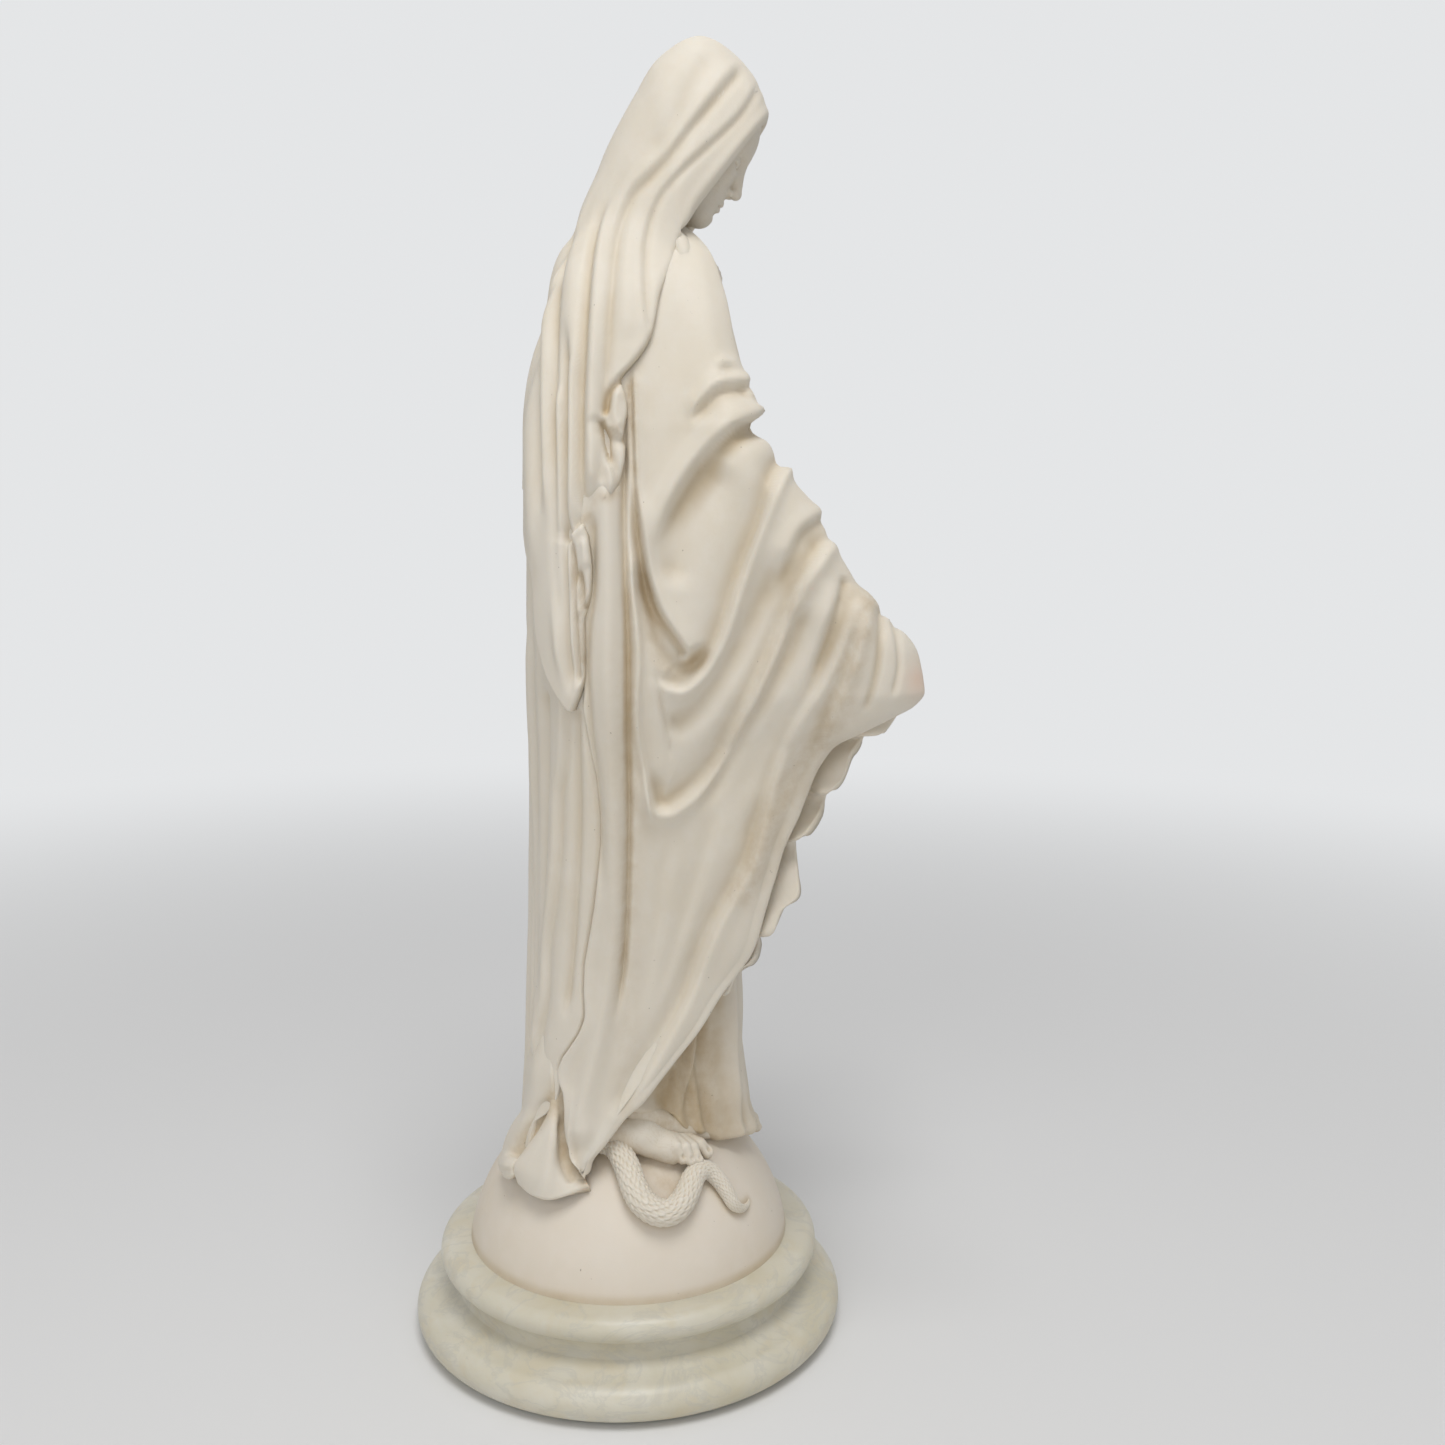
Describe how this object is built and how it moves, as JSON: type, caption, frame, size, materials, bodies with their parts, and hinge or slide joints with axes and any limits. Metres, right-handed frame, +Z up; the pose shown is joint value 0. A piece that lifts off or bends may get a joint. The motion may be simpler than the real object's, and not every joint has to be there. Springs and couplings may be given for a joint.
{
  "type": "madonna statue",
  "caption": "Free-standing cast-marble statue of a veiled, robed woman with lowered open hands, on a half globe with a serpent, over a turned alabaster plinth.",
  "frame": {"origin": "centre of the felt underside, on the surface that the statue stands on", "axes": "+Z up; the figure faces -Y, and its right hand is on the -X side"},
  "size_m": [0.175, 0.1936, 0.507],
  "materials": {
    "cast_marble": "matt, smooth bonded marble, ivory, with yellow in the folds",
    "alabaster": "polished, faint grey and white veins",
    "steel": "plain zinc-plated",
    "felt": "pressed wool felt"
  },
  "bodies": {
    "root": {"plinth": "alabaster", "felt_pad": "felt", "globe": "cast_marble", "centre_rod": "steel", "rod_nut": "steel", "rod_washer": "steel", "anchor_nut": "steel", "neck_dowel": "steel", "hand_pins": "steel", "gown": "cast_marble", "girdle": "cast_marble", "mantle": "cast_marble", "veil": "cast_marble", "head": "cast_marble", "right_hand": "cast_marble", "left_hand": "cast_marble", "right_cuff": "cast_marble", "left_cuff": "cast_marble", "right_foot": "cast_marble", "left_foot": "cast_marble", "serpent": "cast_marble"}
  },
  "joints": []
}
